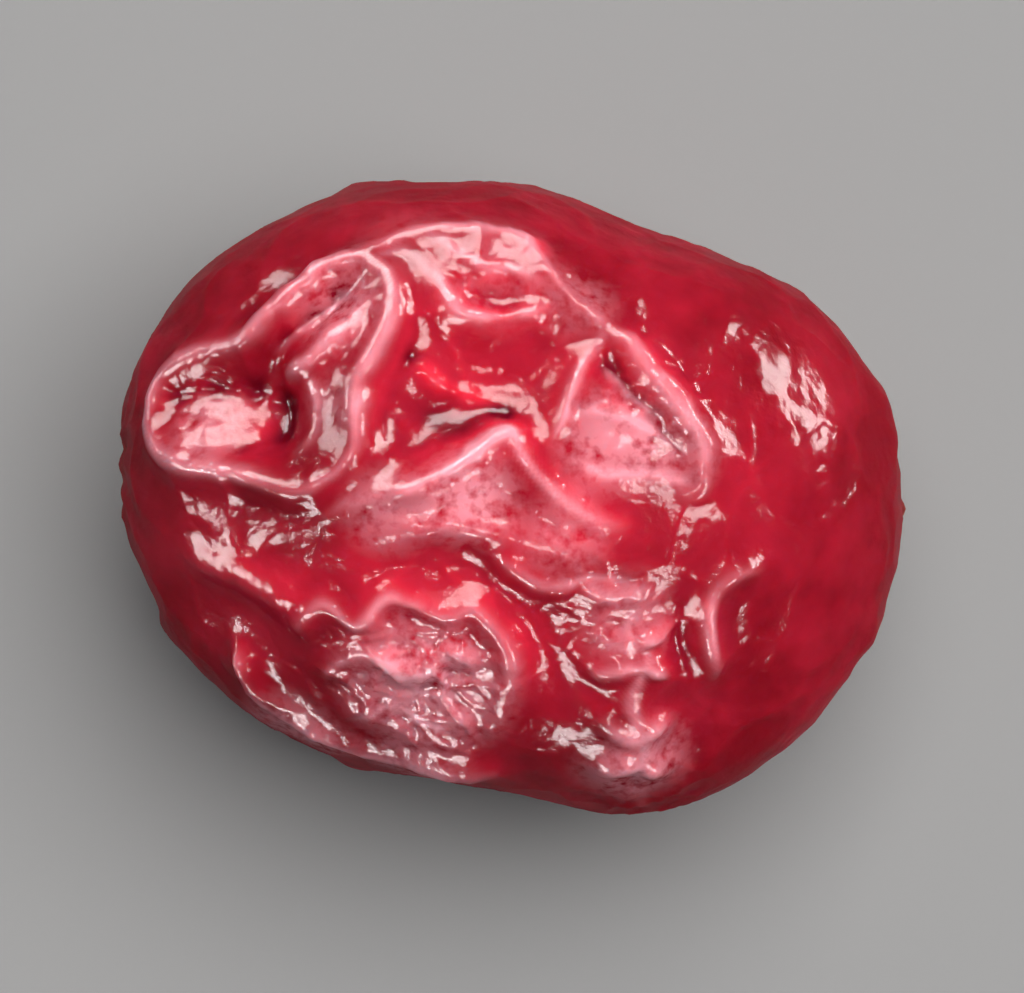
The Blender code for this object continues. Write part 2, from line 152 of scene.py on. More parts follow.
# Folds on the sides and the underside: height, then places (degrees round from +X, degrees up).
HIDDEN_FOLDS = {
    "back left": (0.15, (108, 16), (116, 4), (113, -10), (124, -26), (138, -48)),
    "back left branch": (0.1, (116, 2), (130, -6), (146, -20), (160, -38)),
    "back middle": (0.15, (92, 8), (84, -6), (90, -20), (78, -40), (52, -62)),
    "back middle branch": (0.1, (86, -12), (72, -18), (64, -34)),
    "back right": (0.1, (60, 18), (50, 2), (56, -16), (42, -40)),
    "back right branch": (0.05, (54, -8), (36, -16), (24, -34)),
    "blossom upper": (0.1, (22, 24), (14, 10), (4, 12)),
    "blossom lower": (0.15, (-8, -10), (-4, -26), (-14, -44), (-40, -62)),
    "blossom side": (0.1, (-24, 14), (-18, 0), (-26, -16), (-20, -34)),
    "front left": (0.1, (236, 4), (244, -14), (234, -34), (212, -58)),
    "front left branch": (0.1, (240, -8), (222, -16), (208, -30)),
    "front middle": (0.15, (268, -6), (261, -22), (270, -40), (262, -60)),
    "front right": (0.1, (304, -4), (298, -24), (308, -46)),
    "front right branch": (0.1, (300, -14), (286, -22), (282, -38)),
    "stem lower": (0.1, (190, -12), (178, -30), (190, -52), (236, -72)),
    "stem upper": (0.1, (158, 26), (168, 10), (160, -6)),
    "stem side": (0.1, (206, 14), (200, 0), (208, -14)),
}

# Hollows that the skin sinks into: depth, radius, then the middle (x, y, z).
HOLLOWS = {
    "left pit": (0.35, 1.8, (-5.1, 1.4, 7.8)),
    "left pit cavity": (0.7, 1.0, (-4.1, 1.6, 8.2)),
    "left pit upper end": (0.7, 1.2, (-3.2, 3.2, 8.1)),
    "dish": (1.2, 2.4, (-0.4, 2.3, 8.6)),
    "dish lower end": (0.8, 1.4, (-1.4, 1.2, 8.7)),
    "crown dimple": (1.1, 0.4, (-0.3, 3.5, 8.2)),
    "crown second dimple": (1.0, 0.35, (0.4, 4.1, 7.7)),
    "right lobe": (0.7, 1.3, (2.2, 2.0, 8.3)),
    "right valley": (0.8, 1.2, (1.3, 0.0, 8.5)),
    "front valley": (0.9, 2.4, (-0.9, -1.4, 8.3)),
    "middle valley": (0.7, 1.4, (0.8, -2.9, 7.8)),
    "knot": (0.4, 1.7, (-1.6, -3.0, 7.5)),
    "fold valley": (0.7, 1.1, (2.9, -2.4, 7.6)),
    "fold valley foot": (0.7, 1.3, (2.9, -4.0, 6.7)),
    "left flank": (0.7, 2.2, (-4.7, -1.9, 7.1)),
    "back left": (1.0, 2.6, (-1.6, 5.2, 2.4)),
    "back far left": (0.8, 2.2, (-4.2, 4.4, 2.6)),
    "back right": (0.9, 2.4, (3.4, 4.4, 2.4)),
    "blossom side": (0.9, 2.2, (6.0, -2.6, 2.6)),
    "blossom back": (0.6, 2.0, (5.6, 2.6, 2.6)),
    "stem side": (0.9, 2.4, (-6.0, 2.6, 2.2)),
    "stem front": (0.7, 2.0, (-6.0, -1.8, 3.0)),
    "front foot": (0.9, 2.4, (-0.6, -4.8, 2.2)),
    "front left foot": (0.9, 2.2, (-4.2, -3.4, 2.4)),
    "front right foot": (0.8, 2.2, (3.4, -4.4, 2.4)),
}

# Where the skin is finely crinkled: how much, radius, then the middle (x, y, z). Elsewhere it's the least.
LEAST_CRINKLING = 0.12
CRINKLED = {
    "knot": (1.2, 2.0, (-1.6, -3.1, 6.9)),
    "near fold": (0.6, 1.3, (2.0, -2.4, 7.4)),
    "near fold foot": (1.2, 1.6, (2.2, -4.6, 5.0)),
    "right lobe": (0.7, 1.3, (2.2, 1.7, 8.0)),
    "crown": (0.3, 1.4, (-0.4, 4.0, 8.0)),
    "left pit upper end": (0.5, 1.2, (-3.0, 3.0, 7.8)),
    "under the wing": (0.6, 1.3, (1.6, -1.4, 8.1)),
    "hem": (0.6, 1.4, (-3.9, -3.6, 5.0)),
    "right flank": (0.2, 1.6, (5.0, 0.6, 7.0)),
    "underside": (0.7, 6.0, (0.0, 0.0, -1.5)),
}

# The ends: where the stem was, and what is left of the flower, with the relief of both.
STEM_SCAR = (-6.6, 0.5, 4.6)
STEM_SCAR_RADIUS = 0.5
STEM_PLEATS = 9
CALYX = (6.8, -0.4, 2.8)
CALYX_RADIUS = 1.1
CALYX_FLAPS = 4
SCAR_RELIEF = 0.15

# Where the skin is pale, partly dried pale and partly painted highlight: how much, radius, then the middle
# (x, y, z).
PALE_AND_HIGHLIGHTS = {
    "crown left": (0.1, 1.2, (-1.8, 4.2, 8.0)),
    "crown": (0.25, 1.4, (-0.2, 3.8, 8.2)),
    "crown right": (0.4, 0.9, (1.2, 3.4, 8.3)),
    # The left pit floor's patch is painted highlight.
    "left pit floor": (0.6, 0.9, (-5.2, 1.2, 7.8)),
    "left pit upper end": (0.7, 1.1, (-2.8, 3.2, 8.0)),
    "left pit side": (0.5, 0.8, (-2.9, 1.6, 8.2)),
    "wing left": (0.6, 1.0, (-2.0, -0.2, 8.5)),
    "wing": (1.0, 1.1, (-0.7, 0.0, 8.6)),
    "wing right": (0.5, 1.0, (0.9, -0.6, 8.5)),
    "right lobe": (0.8, 1.2, (1.7, 1.0, 8.4)),
    "right lobe tip": (0.5, 1.0, (2.7, 0.8, 8.1)),
    "knot": (1.0, 1.9, (-1.4, -2.9, 7.0)),
    "near fold": (0.5, 1.1, (2.0, -2.0, 7.8)),
    "near fold foot": (0.7, 1.3, (2.1, -4.2, 6.2)),
    "hem": (0.6, 1.3, (-3.6, -3.9, 5.4)),
    "hem right": (0.5, 1.3, (-1.6, -4.5, 5.6)),
}

# The fine wrinkles and mottles fade out below this height, where the belly is pressed.
BELLY_EDGE = 0.6
# A rise of this much over the skin nearby counts as 1, for the skin close by and for the skin further off.
FINE_RISE = 0.05
BROAD_RISE = 0.3
# The heights between which the flanks' darker colour, partly painted shade, turns to the flesh's.
FLESH_HEIGHTS = (4.5, 8.2)

# Repeats of the skin's mottling along a metre.
BLOTCH_SCALE = 330.0
MOTTLE_SCALE = 1500.0
SPECK_SCALE = 5200.0

# Lights as the berry sees them: degrees round from +X and up, degrees wide and high, and brightness.
# The fill light lights the flesh, and the panels are seen only as reflections.
FILL = (50, 66, 60, 50, 5.5)
PANELS = {
    "window": (106, 38, 56, 42, 78.0),
    "skylight": (-85, 74, 12, 10, 95.0),
    "right panel": (21, 8, 36, 15, 105.0),
    "left window": (166, 12, 20, 22, 60.0),
    "left panel": (201, 20, 22, 24, 100.0),
    "front panel": (247, 17, 24, 15, 110.0),
    "front right panel": (318, 32, 18, 18, 90.0),
}
# The height over the floor of the point that the lights stand round.
AIM_HEIGHT = 4.0
# The colour and the strength of the dim light from all round.
AIR = (0.85, 0.9, 1.0)
AIR_STRENGTH = 0.15
FLOOR_HALF_WIDTH = 4.0


class CranberryForm(bpy.types.PropertyGroup):
    """Sizes of the body and of the skin that sank over it."""

    waist_height: FloatProperty(
        name="Waist height", description="Height of the widest outline", default=3.6 * MM, unit="LENGTH"
    )
    crown_height: FloatProperty(
        name="Crown height", description="Height of the crown over the waist", default=5.1 * MM, unit="LENGTH"
    )
    belly_depth: FloatProperty(
        name="Belly depth", description="Depth of the belly under the waist", default=4.3 * MM, unit="LENGTH"
    )
    belly_rounding: FloatProperty(
        name="Belly rounding",
        description="How high the pressed belly rounds up into the sides",
        default=0.5 * MM,
        unit="LENGTH",
    )
    film_reach: FloatProperty(
        name="Film reach",
        description="How far from a crest the skin hangs from it",
        default=0.5 * MM,
        unit="LENGTH",
    )
    squares: IntProperty(
        name="Squares",
        description="Squares along each edge of the cube the mesh starts as",
        default=124,
        min=16,
        max=127,
    )
    crown_draw: FloatProperty(
        name="Crown draw",
        description="Under 1, the mesh is finer on the crown than below",
        default=0.7,
        min=0.5,
        max=1,
    )


class CranberryRelief(bpy.types.PropertyGroup):
    """Sizes of the fine wrinkles."""

    fold_spacing: FloatProperty(
        name="Fold spacing", description="Distance between small folds", default=1.3 * MM, unit="LENGTH"
    )
    fold_depth: FloatProperty(
        name="Fold depth", description="Depth between small folds", default=0.09 * MM, unit="LENGTH"
    )
    crinkle_spacing: FloatProperty(
        name="Crinkle spacing",
        description="Distance between the finest creases",
        default=0.45 * MM,
        unit="LENGTH",
    )
    crinkle_depth: FloatProperty(
        name="Crinkle depth", description="Depth of the finest creases", default=0.05 * MM, unit="LENGTH"
    )
    streak_spacing: FloatProperty(
        name="Streak spacing",
        description="Distance between upright streaks on the flanks",
        default=0.7 * MM,
        unit="LENGTH",
    )
    streak_depth: FloatProperty(
        name="Streak depth", description="Depth of the upright streaks", default=0.04 * MM, unit="LENGTH"
    )
    swell_spacing: FloatProperty(
        name="Swell spacing", description="Distance between broad swellings", default=3.0 * MM, unit="LENGTH"
    )
    swell_depth: FloatProperty(
        name="Swell depth", description="Depth of the broad swellings", default=0.18 * MM, unit="LENGTH"
    )
    seed: IntProperty(name="Seed", description="Picks another set of wrinkles", default=7, min=0)


class CranberrySkin(bpy.types.PropertyGroup):
    """Colours and finish of the skin."""

    flesh: FloatVectorProperty(
        name="Flesh",
        description="Colour of the moist sunken skin",
        default=(0.65, 0.018, 0.047),
        size=3,
        subtype="COLOR",
    )
    # The flanks' darker colour: partly the taut skin's own deeper colour, partly painted shade.
    flank_and_shade: FloatVectorProperty(
        name="Flanks",
        description="Colour of the taut skin",
        default=(0.22, 0.003, 0.01),
        size=3,
        subtype="COLOR",
    )
    # The pale colour of the crests, also used for painted highlights on crests, small rises and pale patches.
    crest: FloatVectorProperty(
        name="Crests",
        description="Colour of the thin dry crests",
        default=(0.83, 0.32, 0.38),
        size=3,
        subtype="COLOR",
    )
    # Painted shade: the colour that skin lying lower than the skin nearby is darkened towards, down in the
    # folds.
    painted_fold_shade: FloatVectorProperty(
        name="Hollows",
        description="Colour down in the folds",
        default=(0.13, 0.0015, 0.009),
        size=3,
        subtype="COLOR",
    )
    scar: FloatVectorProperty(
        name="Scars",
        description="Colour of the stem scar and calyx",
        default=(0.21, 0.055, 0.03),
        size=3,
        subtype="COLOR",
    )
    translucency: FloatProperty(
        name="Translucency",
        description="How far light spreads under the skin",
        default=0.35 * MM,
        unit="LENGTH",
    )


class CranberryStudio(bpy.types.PropertyGroup):
    """Floor, lights and camera."""

    floor: FloatVectorProperty(
        name="Floor", description="Colour of the floor", default=(0.28, 0.275, 0.27), size=3, subtype="COLOR"
    )
    fill: FloatProperty(name="Fill", description="Brightness of the light on the flesh", default=1, min=0)
    shine: FloatProperty(
        name="Shine", description="Brightness of the panels that the skin reflects", default=1, min=0
    )
    light_distance: FloatProperty(
        name="Light distance", description="How far the lights are from the berry", default=0.4, unit="LENGTH"
    )
    lens: FloatProperty(name="Lens", description="Focal length in millimetres", default=180, min=20, max=300)
    field: FloatProperty(
        name="Field",
        description="Width of what the camera sees at the berry",
        default=18.1 * MM,
        unit="LENGTH",
    )


def curve(points, spans, steps):
    """Points on a smooth curve: at each span number, this many steps on from the point of that number."""
    count = len(points)
    line = []
    for span in spans:
        a, b, c, d = (points[(span + k) % count] for k in (-1, 0, 1, 2))
        for f in np.arange(steps) / steps:
            line.append(b + 0.5 * f * (c - a + f * (2 * a - 5 * b + 4 * c - d + f * (3 * (b - c) + d - a))))
    return np.array(line)


def open_curve(places, steps=8):
    """Points on a smooth curve through these places, from the first to the last."""
    places = np.asarray(places, float)
    longer = np.vstack((2 * places[0] - places[1], places, 2 * places[-1] - places[-2]))
    return np.vstack((curve(longer, range(1, len(places)), steps), places[-1:]))


OUTLINE = MM * curve(np.array(OUTLINE_RADII), range(len(OUTLINE_RADII)), 30)


def outline_radius(x, y):
    """The outline's radius in the direction of (x, y)."""
    turn = np.mod(np.arctan2(y, x) / (2 * math.pi), 1)
    return np.interp(turn, np.linspace(0, 1, len(OUTLINE) + 1), np.append(OUTLINE, OUTLINE[0]))


def body_points(form, directions):
    """Points of the plump body, before the skin sinks, for rows of unit vectors."""
    x, y, z = directions.T
    level = np.sign(z) * np.abs(z) ** (2 / SQUARENESS)
    around = np.maximum(np.hypot(x, y), 1e-9)
    radius = outline_radius(x, y) * around ** (2 / SQUARENESS - 1)
    lean = MM * np.clip(level, 0, 1) ** 2
    height = np.where(level > 0, form.crown_height, form.belly_depth) * level
    shift_x, shift_y = (shift * lean for shift in CROWN_SHIFT)
    return np.stack((radius * x + shift_x, radius * y + shift_y, form.waist_height + height), axis=1)


def over_crown(form, x, y):
    """The point of the body's upper side over (x, y), both in metres."""
    level = 1.0
    for _ in range(40):
        bare_x, bare_y = x - MM * CROWN_SHIFT[0] * level**2, y - MM * CROWN_SHIFT[1] * level**2
        share = min(1.0, math.hypot(bare_x, bare_y) / outline_radius(bare_x, bare_y))
        level = (level + (1 - share**SQUARENESS) ** (1 / SQUARENESS)) / 2
    return (x, y, form.waist_height + form.crown_height * level)


def at_angles(form, around, up):
    """The point of the body in the direction these degrees round from +X and these degrees up."""
    around, up = math.radians(around), math.radians(up)
    direction = (math.cos(around) * math.cos(up), math.sin(around) * math.cos(up), math.sin(up))
    return body_points(form, np.array([direction]))[0]


def crest_lines(form):
    """Each crest: its name, its grip on the skin, its height and its points on the body."""
    for name, (height, *places) in CRESTS.items():
        grip = FOLD_GRIP if name in SOFT else CREST_GRIP
        yield name, grip, height * MM, np.array([over_crown(form, x, y) for x, y in MM * open_curve(places)])
    for name, (height, *places) in HIDDEN_FOLDS.items():
        line = np.array([at_angles(form, *place) for place in open_curve(places)])
        yield name, FOLD_GRIP, height * MM, line


def nearest_on_line(points, line):
    """Distance from each point to a line, and how far along the line its nearest place is, from 0 to 1."""
    lengths = np.linalg.norm(np.diff(line, axis=0), axis=1)
    starts = np.concatenate(([0], np.cumsum(lengths)))
    distance = np.full(len(points), np.inf)
    along = np.zeros(len(points))
    for start, length, a, b in zip(starts, lengths, line, line[1:]):
        share = np.clip((points - a) @ (b - a) / length**2, 0, 1)
        gap = np.linalg.norm(points - a - share[:, None] * (b - a), axis=1)
        nearer = gap < distance
        distance[nearer] = gap[nearer]
        along[nearer] = ((start + share * length) / starts[-1])[nearer]
    return distance, along


def wander(points, length, amount):
    """The points moved about smoothly, so that a line drawn through them wavers."""
    noise.seed_set(WANDER_SEED)
    return points + amount * np.array([noise.noise_vector(Vector(point) / length) for point in points])


def crest_hold(form, points):
    """How stiffly crests hold the skin, that times the height they hold it at, their ridges and grooves."""
    stiffness = np.zeros(len(points))
    lift = np.zeros(len(points))
    ridge = np.zeros(len(points))
    groove = np.zeros(len(points))
    groove_depth, groove_distance, groove_width = MM * np.array(GROOVE)
    moved = points
    for length, amount in WAVERS:
        moved = wander(moved, length * MM, amount * MM)
    rise, spacing = MM * np.array(UNEVENNESS)
    uneven = rise * np.array([noise.noise(Vector(point) / spacing) for point in points])
    for name, (half_width, firmness), height, line in crest_lines(form):
        distance, along = nearest_on_line(moved, line)
        closed = np.allclose(line[0], line[-1])
        fade = 1 if closed else np.clip(5 * np.minimum(along, 1 - along), 0, 1)
        hold = firmness * fade * np.exp(-((distance / (half_width * MM)) ** 2))
        stiffness += hold
        lift += hold * (height + uneven)
        # The crest's pale line, partly painted highlight.
        if firmness == CREST_GRIP[1] and height > CREASE_HEIGHT * MM:
            ridge = np.maximum(ridge, fade * np.exp(-((distance / (RIDGE_HALF_WIDTH * MM)) ** 2)))
        if name in ROLLED:
            beside = np.exp(-(((distance - groove_distance) / groove_width) ** 2))
            groove = np.maximum(groove, fade * groove_depth * beside)
    return stiffness, lift, ridge, groove


def patches(points, table):
    """The sum of soft round patches: an amount at each middle that fades to nothing at the radius."""
    total = np.zeros(len(points))
    for amount, radius, middle in table.values():
        share = np.linalg.norm(points - MM * np.array(middle), axis=1) / (radius * MM)
        total += amount * np.clip(1 - share**2, 0, 1) ** 1.5
    return total


def sag(form, points, neighbours):
    """Height of the skin over the body: a film sucked inwards that the crests hold up. Also its ridges."""
    stiffness, lift, ridge, groove = crest_hold(form, points)
    depth = MM * patches(points, HOLLOWS) + groove
    edges = np.linalg.norm(points[neighbours] - points[:, None], axis=2)
    pull = form.film_reach**2 / (edges * edges.mean(axis=1, keepdims=True))
    total = pull.sum(axis=1) + 1 + stiffness
    slowest = (pull.sum(axis=1) / (pull.sum(axis=1) + 1)).max()
    # Each round steps past the average of the neighbours, which settles the film in far fewer rounds.
    film, earlier, step = -depth, -depth, 1.0
    for _ in range(int(FILM_ROUNDS / math.sqrt(1 - slowest))):
        relaxed = ((pull * film[neighbours]).sum(axis=1) - depth + lift) / total
        film, earlier = earlier + step * (relaxed - earlier), film
        step = 1 / (1 - step * slowest**2 / (4 if step > 1 else 2))
    return film, ridge


def end_relief(points):
    """Relief of the ends, a puckered pit where the stem was and a crater among dry flaps, and their stain."""
    offset = points - MM * np.array(STEM_SCAR)
    distance = np.linalg.norm(offset, axis=1) / (STEM_SCAR_RADIUS * MM)
    turn = np.arctan2(offset[:, 2], offset[:, 1])
    pleats = np.cos(STEM_PLEATS * turn) * np.exp(-((distance - 1.7) ** 2) / 0.5)
    pit = np.exp(-(distance**2))
    relief = SCAR_RELIEF * MM * (0.3 * pleats - 3 * pit)
    offset = points - MM * np.array(CALYX)
    distance = np.linalg.norm(offset, axis=1) / (CALYX_RADIUS * MM)
    turn = np.arctan2(offset[:, 2], offset[:, 1]) + 0.5 * distance
    flap = np.abs(np.mod(CALYX_FLAPS * turn / math.pi, 2) - 1)
    raised = np.clip((0.4 + flap * (0.45 + 0.12 * np.cos(turn)) - distance) / 0.2, 0, 1)
    crater = np.exp(-((distance / 0.35) ** 2))
    relief += SCAR_RELIEF * MM * (raised * (0.3 + 0.6 * distance) - 3.5 * crater)
    return relief, np.maximum(pit, raised)


def flattened(form, height):
    """Heights with the belly pressed flat at 0, and rounded from there up to the sides."""
    soft = form.belly_rounding
    return np.where(height < soft, np.clip(height + soft, 0, 2 * soft) ** 2 / (4 * soft), height)


def round_mesh(squares, draw):
    """A cube of squares blown up into a unit sphere, with its vertices drawn towards +Z."""
    mesh = bmesh.new()
    bmesh.ops.create_cube(mesh, size=2)
    bmesh.ops.subdivide_edges(mesh, edges=mesh.edges[:], cuts=squares - 1, use_grid_fill=True)
    for vertex in mesh.verts:
        direction = Vector([math.tan(side * math.pi / 4) for side in vertex.co]).normalized()
        polar = 2 * math.atan(draw * math.tan(math.acos(max(-1, min(1, direction.z))) / 2))
        flat = direction.xy.normalized() if direction.xy.length > 1e-9 else Vector((1, 0))
        vertex.co = (flat.x * math.sin(polar), flat.y * math.sin(polar), math.cos(polar))
    mesh.verts.index_update()
    return mesh


def neighbours_of(mesh):
    """Each vertex's four neighbours. At a corner of the cube, which has three, the first counts twice."""
    rows = [[edge.other_vert(vertex).index for edge in vertex.link_edges] for vertex in mesh.verts]
    return np.array([(row + row)[:4] for row in rows])


def move_vertices(mesh, points):
    for vertex, point in zip(mesh.verts, points):
        vertex.co = point
    mesh.normal_update()


def store(mesh, name, values):
    """Keeps a number for each vertex on the mesh, under this name."""
    attribute = mesh.attributes.new(name, "FLOAT", "POINT")
    attribute.data.foreach_set("value", np.asarray(values, np.float32))


def berry_mesh(form):
    """The berry with its skin sunk, and what the relief and the skin's colours follow."""
    mesh = round_mesh(form.squares, form.crown_draw)
    plump = body_points(form, np.array([vertex.co for vertex in mesh.verts]))
    move_vertices(mesh, plump)
    normals = np.array([vertex.normal for vertex in mesh.verts])
    film, ridge = sag(form, plump, neighbours_of(mesh))
    ends, stained = end_relief(plump)
    points = plump + normals * (film + ends)[:, None]
    points[:, 2] = flattened(form, points[:, 2])
    low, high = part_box(NODE)
    points[:, :2] -= (points[:, :2].min(axis=0) + points[:, :2].max(axis=0)) / 2
    points[:, :2] += (np.array(low) + np.array(high))[:2] / 2
    move_vertices(mesh, points)
    data = bpy.data.meshes.new("berry")
    mesh.to_mesh(data)
    mesh.free()
    store(data, "ridge", ridge)
    store(data, "film", film)
    store(data, "stained", stained)
    # Pale patches, partly painted highlight.
    store(data, "pale", np.clip(patches(plump, PALE_AND_HIGHLIGHTS), 0, 1))
    store(data, "sunken", np.clip(patches(plump, HOLLOWS), 0, 1))
    clear = np.clip(points[:, 2] / (BELLY_EDGE * MM), 0, 1)
    store(data, "crinkled", np.clip(LEAST_CRINKLING + patches(plump, CRINKLED), 0, 1) * clear)
    data.shade_smooth()
    return data


class NodeTree:
    """A short way to write a node tree: each call adds a node, sets its inputs and returns its output."""

    def __init__(self, tree):
        self.tree = tree

    def add(self, kind, *inputs, out=0, **settings):
        node = self.tree.nodes.new(kind)
        for name, value in settings.items():
            setattr(node, name, value)
        for socket, value in inputs:
            target = node.inputs[socket]
            if isinstance(value, bpy.types.NodeSocket):
                self.tree.links.new(value, target)
            else:
                target.default_value = value
        return node.outputs[out]

    def math(self, operation, a, b=0.0, c=0.0, clamp=False):
        return self.add("ShaderNodeMath", (0, a), (1, b), (2, c), operation=operation, use_clamp=clamp)

    def vector(self, operation, a, b=(0, 0, 0), scale=1.0):
        kind = "ShaderNodeVectorMath"
        return self.add(kind, (0, a), (1, b), (3, scale), operation=operation, out=0)


def new_group(name, inputs):
    """A Geometry Nodes group with a geometry input, these named inputs and a geometry output."""
    group = bpy.data.node_groups.new(name, "GeometryNodeTree")
    group.interface.new_socket("Geometry", in_out="INPUT", socket_type="NodeSocketGeometry")
    for label, kind in inputs:
        group.interface.new_socket(label, in_out="INPUT", socket_type=kind)
    group.interface.new_socket("Geometry", in_out="OUTPUT", socket_type="NodeSocketGeometry")
    return group


def folds(tree, position, spacing, warp, seed):
    """A net of sharp folds: 1 along the edges of bent cells this far apart, and 0 on their floors."""
    spread = tree.vector("SCALE", position, scale=tree.math("DIVIDE", 1.0, spacing))
    spread = tree.vector("ADD", spread, tree.vector("SCALE", (1.7, 2.9, 4.3), scale=seed))
    bend = tree.add("ShaderNodeTexNoise", ("Vector", spread), ("Scale", 0.7), ("Detail", 1.0), out="Color")
    bent = tree.vector("ADD", spread, tree.vector("SCALE", bend, scale=warp))
    edge = tree.add("ShaderNodeTexVoronoi", ("Vector", bent), ("Scale", 1.0), feature="DISTANCE_TO_EDGE")
    near = tree.math("SUBTRACT", 1.0, tree.math("MULTIPLY", edge, 3.2), clamp=True)
    return tree.math("MULTIPLY", near, near)


def swells(tree, position, spacing, seed):
    """A smooth noise from -0.5 to 0.5 with features about this far apart."""
    scale = tree.math("DIVIDE", 1.0, spacing)
    value = tree.add(
        "ShaderNodeTexNoise",
        ("Vector", position), ("W", seed), ("Scale", scale), ("Detail", 0.0),
        noise_dimensions="4D",
    )
    return tree.math("SUBTRACT", value, 0.5)


def total(tree, *values):
    result = values[0]
    for value in values[1:]:
        result = tree.math("ADD", result, value)
    return result


def named(tree, name):
    return tree.add("GeometryNodeInputNamedAttribute", ("Name", name), data_type="FLOAT")


def blurred(tree, value, iterations):
    """The value averaged with its neighbours' this many times over."""
    return tree.add("GeometryNodeBlurAttribute", (0, value), ("Iterations", iterations), data_type="FLOAT")


def kept(tree, geometry, name, value):
    """The geometry with the value kept on its points under this name."""
    return tree.add(
        "GeometryNodeStoreNamedAttribute",
        ("Geometry", geometry), ("Name", name), ("Value", value),
        data_type="FLOAT", domain="POINT",
    )


RELIEF_SIZES = (
    "Fold spacing", "Fold depth", "Crinkle spacing", "Crinkle depth",
    "Streak spacing", "Streak depth", "Swell spacing", "Swell depth",
)


def key(label):
    """The name in code of the setting with this label."""
    return label.lower().replace(" ", "_")


def relief_group():
    """Geometry Nodes: pushes the skin in and out in folds, crinkles, streaks and swellings."""
    group = new_group(
        "Skin relief",
        [(label, "NodeSocketFloat") for label in RELIEF_SIZES]
        + [("Seed", "NodeSocketInt"), ("Material", "NodeSocketMaterial")],
    )
    tree = NodeTree(group)
    given = group.nodes.new("NodeGroupInput").outputs
    position = tree.add("GeometryNodeInputPosition")
    normal = tree.add("GeometryNodeInputNormal")
    crinkled = named(tree, "crinkled")
    upright = tree.vector("MULTIPLY", position, (1.0, 1.0, 0.22))
    share = tree.math("MULTIPLY_ADD", crinkled, 0.7, 0.3)
    parts = (
        (folds(tree, position, given["Fold spacing"], 1.2, given["Seed"]), share, "Fold depth"),
        (folds(tree, position, given["Crinkle spacing"], 1.0, given["Seed"]), crinkled, "Crinkle depth"),
        (swells(tree, upright, given["Streak spacing"], given["Seed"]), 1.0, "Streak depth"),
        (swells(tree, position, given["Swell spacing"], given["Seed"]), 1.0, "Swell depth"),
    )
    height = total(tree, *(
        tree.math("MULTIPLY", tree.math("MULTIPLY", shape, amount), given[depth])
        for shape, amount, depth in parts
    ))
    above = tree.add("ShaderNodeSeparateXYZ", (0, position), out=2)
    clear = tree.math("MULTIPLY", above, 1 / (BELLY_EDGE * MM), clamp=True)
    height = tree.math("MULTIPLY", height, clear)
    moved = tree.add(
        "GeometryNodeSetPosition",
        ("Geometry", given["Geometry"]), ("Offset", tree.vector("SCALE", normal, scale=height)),
    )
    whole = tree.math("ADD", height, named(tree, "film"))
    fine = tree.math("SUBTRACT", whole, blurred(tree, whole, 30))
    broad = tree.math("SUBTRACT", whole, blurred(tree, whole, 300))
    stored = kept(tree, moved, "fine_rise", tree.math("MULTIPLY", fine, 1 / (FINE_RISE * MM)))
    stored = kept(tree, stored, "broad_rise", tree.math("MULTIPLY", broad, 1 / (BROAD_RISE * MM)))
    real = tree.add("GeometryNodeRealizeInstances", ("Geometry", stored))
    dressed = tree.add("GeometryNodeSetMaterial", ("Geometry", real), ("Material", given["Material"]))
    out = group.nodes.new("NodeGroupOutput")
    group.links.new(dressed, out.inputs["Geometry"])
    return group


def with_nodes(piece, group, **inputs):
    """Runs a Geometry Nodes group on the piece and keeps the result as its plain mesh."""
    modifier = piece.modifiers.new(group.name, "NODES")
    modifier.node_group = group
    for socket in group.interface.items_tree:
        if socket.in_out == "INPUT" and socket.name != "Geometry":
            modifier[socket.identifier] = inputs[key(socket.name)]
    bpy.context.view_layer.update()
    made = bpy.data.meshes.new_from_object(piece.evaluated_get(bpy.context.evaluated_depsgraph_get()))
    made.name = piece.name
    piece.modifiers.remove(modifier)
    piece.data = made
    return piece


def attribute(tree, name):
    return tree.add("ShaderNodeAttribute", out="Fac", attribute_name=name)


def mixed(tree, share, a, b):
    """A colour from a, at share 0, to b, at share 1."""
    node = tree.tree.nodes.new("ShaderNodeMix")
    node.data_type = "RGBA"
    for socket, value in ((0, share), (6, a), (7, b)):
        if isinstance(value, bpy.types.NodeSocket):
            tree.tree.links.new(value, node.inputs[socket])
        else:
            node.inputs[socket].default_value = (*value, 1) if socket else value
    return node.outputs[2]


